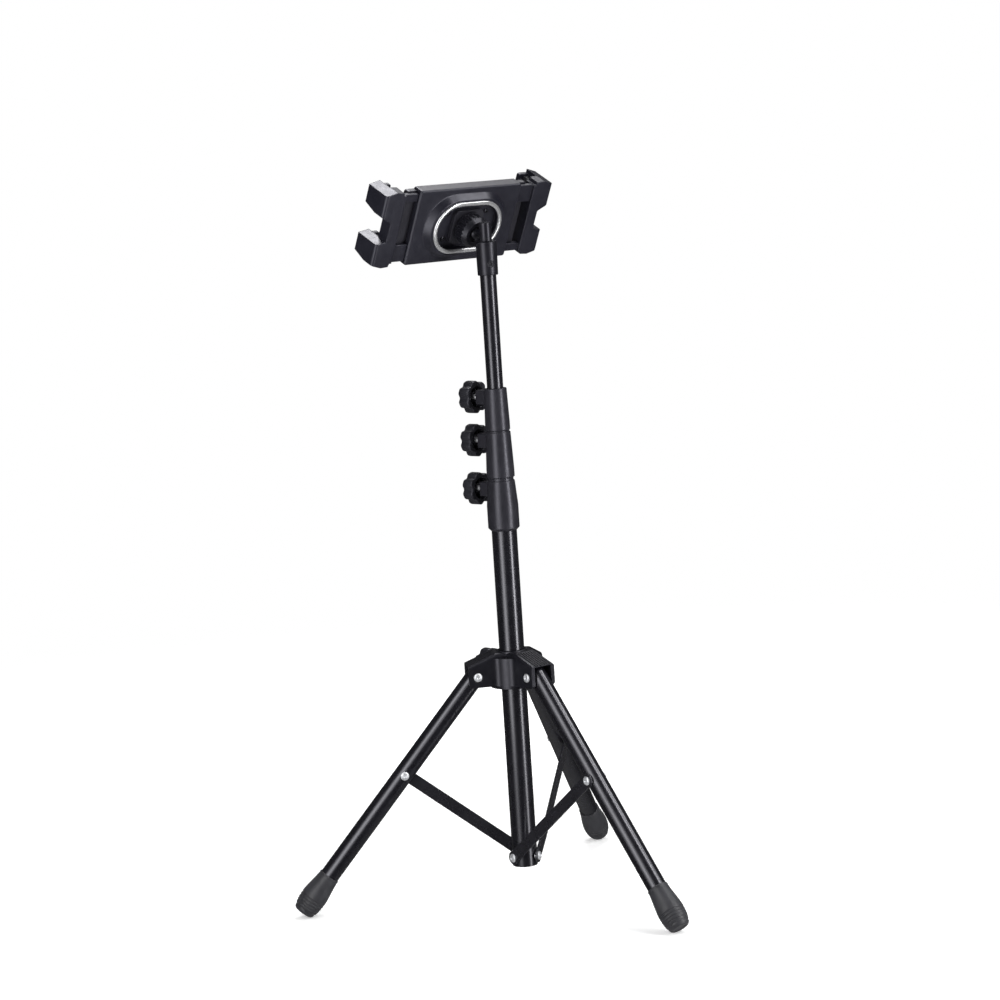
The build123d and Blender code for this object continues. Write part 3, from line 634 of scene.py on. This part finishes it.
def make_knob(name, azimuth, boss_end, height, tip):
    """One star knob with its ribbed dish, and its threaded stud."""
    radii = star_outline()
    count = len(radii)
    knob = Shape()
    place = radial(azimuth, boss_end + knob_standoff, height)
    rings = [circle(radius, h, count) for radius, h in reversed(knob_dish)]
    for inset, h in knob_skin:
        ring = []
        for k, radius in enumerate(radii):
            angle = 2 * pi * k / count
            ring.append(((radius - inset) * cos(angle), (radius - inset) * sin(angle), h))
        rings.append(ring)
    rings.extend(circle(radius, h, count) for radius, h in knob_crown)
    knob.skin(rings, place)
    for rib in range(knob_lobes):
        angle = 2 * pi * rib / knob_lobes
        ends = []
        for reach in rib_reach:
            ends.append([
                (reach * cos(angle) - w * sin(angle), reach * sin(angle) + w * cos(angle), h)
                for w, h in rib_section
            ])
        knob.skin(ends, place)
    knob.piece("star_knob_" + name, name + "_knob")

    stud = Shape()
    length = boss_end + knob_standoff + knob_cavity - tip
    around = 40
    rows_per_pitch = 6
    root_r = stud_r - 0.38
    thread_depth = 0.36
    end_r = 2.0
    rows = int(length / thread_pitch * rows_per_pitch)
    rings = [circle(end_r, 0, around)]
    for row in range(rows + 1):
        z = length * row / rows
        ring = []
        for k in range(around):
            phase = (z / thread_pitch - k / around) % 1
            r = root_r + thread_depth * abs(2 * phase - 1)
            ring.append((r * cos(2 * pi * k / around), r * sin(2 * pi * k / around), z))
        rings.append(ring)
    rings.append(circle(end_r, length, around))
    stud.skin(rings, radial(azimuth, tip, height))
    stud.piece("threaded_stud_" + name, name + "_stud", crease=60)


# Boot outline, as radius against distance from its mouth
boot_bore = 38.0
boot_base = [
    (9.52, boot_bore),
    (9.52, 0.3),
    (9.8, 0),
    (10.15, 0.05),
    (10.4, 0.4),
    (10.45, 1.6),
    (10.25, 2.1),
    (10.35, 3.0),
    (10.7, 6.0),
    (11.0, 9.0),
    (11.7, 13.5),
    (12.4, 18.0),
    (12.9, 22.5),
    (13.15, 26.0),
]
boot_ribs = [(13.2, 27.0), (12.9, 33.75), (12.1, 38.2), (11.0, 41.0)]
boot_toe = [
    (10.6, 42.6),
    (9.7, 44.0),
    (8.3, 44.85),
    (7.0, 45.0),
    (6.4, 44.6),
    (5.8, 44.4),
    (0, 44.4),
]


def ribbed(outline, first, pitch, depth, step=0.2):
    """An outline with soft grooves cut into it, one pitch apart from the first on."""
    made = []
    for (r0, s0), (r1, s1) in zip(outline, outline[1:]):
        count = int((s1 - s0) / step)
        for k in range(count):
            s = s0 + (s1 - s0) * k / count
            wave = 0.5 + 0.5 * cos(2 * pi * (s - first) / pitch)
            made.append((r0 + (r1 - r0) * k / count - depth * wave**4, s))
    return made


def make_boots():
    """Rubber boots with a lipped mouth and soft ribs near the sole."""
    ribs = ribbed(boot_ribs, first=28.0, pitch=3.1, depth=0.55)
    profile = [(0, boot_bore)] + boot_base + ribs + boot_toe
    for index, azimuth in enumerate(leg_azimuths):
        boot = Shape()
        boot.turn(raised(profile, leg_length - boot_length), down_leg(azimuth), count=72)
        boot.piece("ribbed_boot_" + str(index + 1), "boot_" + str(index + 1), crease=50)


def make_ring():
    """Bright half-round trim that follows the mound's oval."""
    straight = 14.2
    bend = 25.4
    half = 2.1
    seat = 11.0
    foot = -0.9
    shoulder = 0.1
    crown = 1.3
    steps = 14
    end_steps = 48
    section = [(-half, foot), (-half, shoulder)]
    for k in range(1, steps):
        angle = pi * k / steps
        section.append((-half * cos(angle), shoulder + crown * sin(angle)))
    section += [(half, shoulder), (half, foot)]
    rings = []
    for end, start in ((1, -90), (-1, 90)):
        for k in range(end_steps + 1):
            angle = radians(start + 180 * k / end_steps)
            out = Vector((cos(angle), sin(angle), 0))
            middle = Vector((end * straight, 0, 0)) + out * bend
            rings.append([middle + out * u + Vector((0, 0, h)) for u, h in section])
    ring = Shape()
    ring.skin(rings, on_holder(0, 0, seat), loop=True)
    ring.piece("half_round_trim", "trim_ring", crease=50)


def make_cover_screws():
    """Pan-head screws with a cross recess, in the bottom of the oval."""
    screws = Shape()
    count = 48
    radii = [0.02, 0.2, 0.35, 0.5, 0.7, 0.9, 1.1, 1.3, 1.5, 1.7, 1.9, 2.1, 2.35, 2.55, 2.7]
    head_r = radii[-1]
    crown = 1.5
    fall = 0.9
    slot_half = 0.42
    slot_ease = 0.15
    slot_reach = 1.7
    slot_end_ease = 0.3
    slot_depth = 0.8
    rim = 0.02
    shank_r = 1.4
    shank_end = -13
    seat = 17.0
    screw_x = 23.5
    screw_y = 13.5
    for x in (-screw_x, screw_x):
        for y in (-screw_y, screw_y):
            rings = []
            for radius in radii:
                ring = []
                for k in range(count):
                    angle = 2 * pi * k / count
                    px = radius * cos(angle)
                    py = radius * sin(angle)
                    dome = crown - fall * (radius / head_r) ** 3
                    narrow = min(abs(px), abs(py))
                    far = max(abs(px), abs(py))
                    inside = max(0, min(1, (slot_half - narrow) / slot_ease))
                    within = max(0, min(1, (slot_reach - far) / slot_end_ease))
                    ring.append((px, py, dome - slot_depth * inside * within))
                rings.append(ring)
            rings.append([(px, py, rim) for px, py, _ in rings[-1]])
            rings.append(circle(shank_r, rim, count))
            rings.append(circle(shank_r, shank_end, count))
            screws.skin(rings, on_holder(x, y, seat))
    screws.piece("cross_head_screws", "cover_screws", crease=50)


# Each knob: azimuth, radius of its boss's end, height, and the radius that its stud reaches in to
hub_knob_z = pivot_z + 4.8
knob_places = {
    "lower": (knob_azimuth, 23.0, 409.6, 11.3),
    "middle": (knob_azimuth, 21.8, 457.6, 9.8),
    "upper": (knob_azimuth, 20.6, 500.5, 8.3),
    "hub": (-90, 27.0, hub_knob_z, 12.8),
}

make_rivets()
for name, knob_place in knob_places.items():
    make_knob(name, *knob_place)
make_boots()
make_ring()
make_cover_screws()


def soft_box(name, turn, elevation, distance, width, height, radiance, aim):
    """An area lamp that faces the aim point. The turn is from the camera's azimuth."""
    data = bpy.data.lights.new(name, "AREA")
    data.shape = "RECTANGLE"
    data.size = width
    data.size_y = height
    data.energy = radiance * pi * width * height
    light = bpy.data.objects.new(name, data)
    light.visible_camera = False
    bpy.context.scene.collection.objects.link(light)
    a = radians(camera_azimuth + turn)
    e = radians(elevation)
    out = Vector((cos(a) * cos(e), sin(a) * cos(e), sin(e)))
    light.location = Vector(aim) + out * distance
    light.rotation_mode = "QUATERNION"
    light.rotation_quaternion = out.to_track_quat("Z", "Y")


# Tall soft boxes on both sides of the camera draw the long highlights, and dimmer ones carry them
# on below the floor. Three more light the holder from above. Turn and elevation are in degrees.
pole = (0, 0, 0.76)
foot = (0, 0, -0.18)
head = (0, 0, 0.66)
soft_box("key_right", 57, 0, 0.75, width=0.17, height=1.5, radiance=8.3, aim=pole)
soft_box("fill_left", -36, 0, 0.75, width=0.56, height=1.5, radiance=1.15, aim=pole)
soft_box("fill_core", -36, 0, 0.74, width=0.24, height=1.5, radiance=2.5, aim=pole)
soft_box("key_low", 57, 0, 0.75, width=0.17, height=0.38, radiance=4.2, aim=foot)
soft_box("fill_low", -36, 0, 0.75, width=0.56, height=0.38, radiance=0.35, aim=foot)
soft_box("core_low", -36, 0, 0.74, width=0.24, height=0.38, radiance=0.7, aim=foot)
soft_box("overhead", 181, 62, 1.5, width=0.6, height=0.6, radiance=11, aim=head)
soft_box("top_back", 164, 40, 1.6, width=0.8, height=0.5, radiance=1.4, aim=head)
soft_box("side_right", 90, 37, 1.5, width=0.5, height=0.5, radiance=6, aim=head)

# Strengths of the world: to the camera, in the light it throws, and in gloss, level and from below
white = 1.0
room_light = 0.32
room_gloss = 0.045
low_gloss = 0.22
low_gloss_start = -0.45
low_gloss_full = -0.95

# The floor, in metres from the pole: it glows less near the feet, so that the shadow shows
floor_glow = 0.4
glow_start = 0.4
glow_full = 0.8
floor_end = 1.7
floor_radius = 8


def make_world():
    """White where the camera looks, a dim room in gloss, a soft level for the light it throws."""
    world = bpy.data.worlds.new("studio")
    bpy.context.scene.world = world
    world.use_nodes = True
    tree = world.node_tree
    back = tree.nodes["Background"]
    path = tree.nodes.new("ShaderNodeLightPath")
    glossy = tree.nodes.new("ShaderNodeMapRange")
    glossy.inputs["To Min"].default_value = room_light
    place = tree.nodes.new("ShaderNodeTexCoord")
    axes = tree.nodes.new("ShaderNodeSeparateXYZ")
    tree.links.new(place.outputs["Generated"], axes.inputs["Vector"])
    below = tree.nodes.new("ShaderNodeMapRange")
    below.inputs["From Min"].default_value = low_gloss_start
    below.inputs["From Max"].default_value = low_gloss_full
    below.inputs["To Min"].default_value = room_gloss
    below.inputs["To Max"].default_value = low_gloss
    tree.links.new(axes.outputs["Z"], below.inputs["Value"])
    tree.links.new(below.outputs["Result"], glossy.inputs["To Max"])
    tree.links.new(path.outputs["Is Glossy Ray"], glossy.inputs["Value"])
    clear = tree.nodes.new("ShaderNodeMath")
    clear.operation = "MAXIMUM"
    tree.links.new(path.outputs["Is Camera Ray"], clear.inputs[0])
    tree.links.new(path.outputs["Is Transmission Ray"], clear.inputs[1])
    strength = tree.nodes.new("ShaderNodeMix")
    tree.links.new(clear.outputs["Value"], strength.inputs["Factor"])
    tree.links.new(glossy.outputs["Result"], strength.inputs[number_a])
    strength.inputs[number_b].default_value = white
    back.inputs["Color"].default_value = (1, 1, 1, 1)
    tree.links.new(strength.outputs[number_out], back.inputs["Strength"])


def make_floor():
    """A white floor that keeps the shadow near the feet and fades into the white world.

    It isn't seen in gloss and throws no shadow, so the low lamps light the legs through it.
    """
    bpy.ops.mesh.primitive_circle_add(
        vertices=96, radius=floor_radius, fill_type="NGON", location=(0, 0, 0)
    )
    floor = bpy.context.object
    floor.name = "floor"
    material = bpy.data.materials.new("pale_floor")
    material.use_nodes = True
    tree = material.node_tree
    shader = tree.nodes["Principled BSDF"]
    shader.inputs["Roughness"].default_value = 0.8
    shader.inputs["Specular IOR Level"].default_value = 0.2
    shader.inputs["Emission Color"].default_value = (1, 1, 1, 1)
    shader.inputs["Base Color"].default_value = (0.9, 0.9, 0.9, 1)
    path = tree.nodes.new("ShaderNodeLightPath")
    glow = tree.nodes.new("ShaderNodeMapRange")
    tree.links.new(path.outputs["Is Camera Ray"], glow.inputs["Value"])
    tree.links.new(glow.outputs["Result"], shader.inputs["Emission Strength"])
    place = tree.nodes.new("ShaderNodeNewGeometry")
    length = tree.nodes.new("ShaderNodeVectorMath")
    length.operation = "LENGTH"
    tree.links.new(place.outputs["Position"], length.inputs[0])
    spread = tree.nodes.new("ShaderNodeMapRange")
    spread.interpolation_type = "SMOOTHSTEP"
    spread.inputs["From Min"].default_value = glow_start
    spread.inputs["From Max"].default_value = glow_full
    spread.inputs["To Min"].default_value = floor_glow
    spread.inputs["To Max"].default_value = white
    tree.links.new(length.outputs["Value"], spread.inputs["Value"])
    tree.links.new(spread.outputs["Result"], glow.inputs["To Max"])
    fade = tree.nodes.new("ShaderNodeMapRange")
    fade.interpolation_type = "SMOOTHSTEP"
    fade.inputs["From Min"].default_value = glow_full
    fade.inputs["From Max"].default_value = floor_end
    tree.links.new(length.outputs["Value"], fade.inputs["Value"])
    clear = tree.nodes.new("ShaderNodeBsdfTransparent")
    mix = tree.nodes.new("ShaderNodeMixShader")
    tree.links.new(fade.outputs["Result"], mix.inputs["Fac"])
    tree.links.new(shader.outputs["BSDF"], mix.inputs[1])
    tree.links.new(clear.outputs["BSDF"], mix.inputs[2])
    tree.links.new(mix.outputs["Shader"], tree.nodes["Material Output"].inputs["Surface"])
    floor.data.materials.append(material)
    floor.visible_glossy = False
    floor.visible_shadow = False


make_world()
make_floor()
bpy.context.scene.view_settings.view_transform = "Standard"
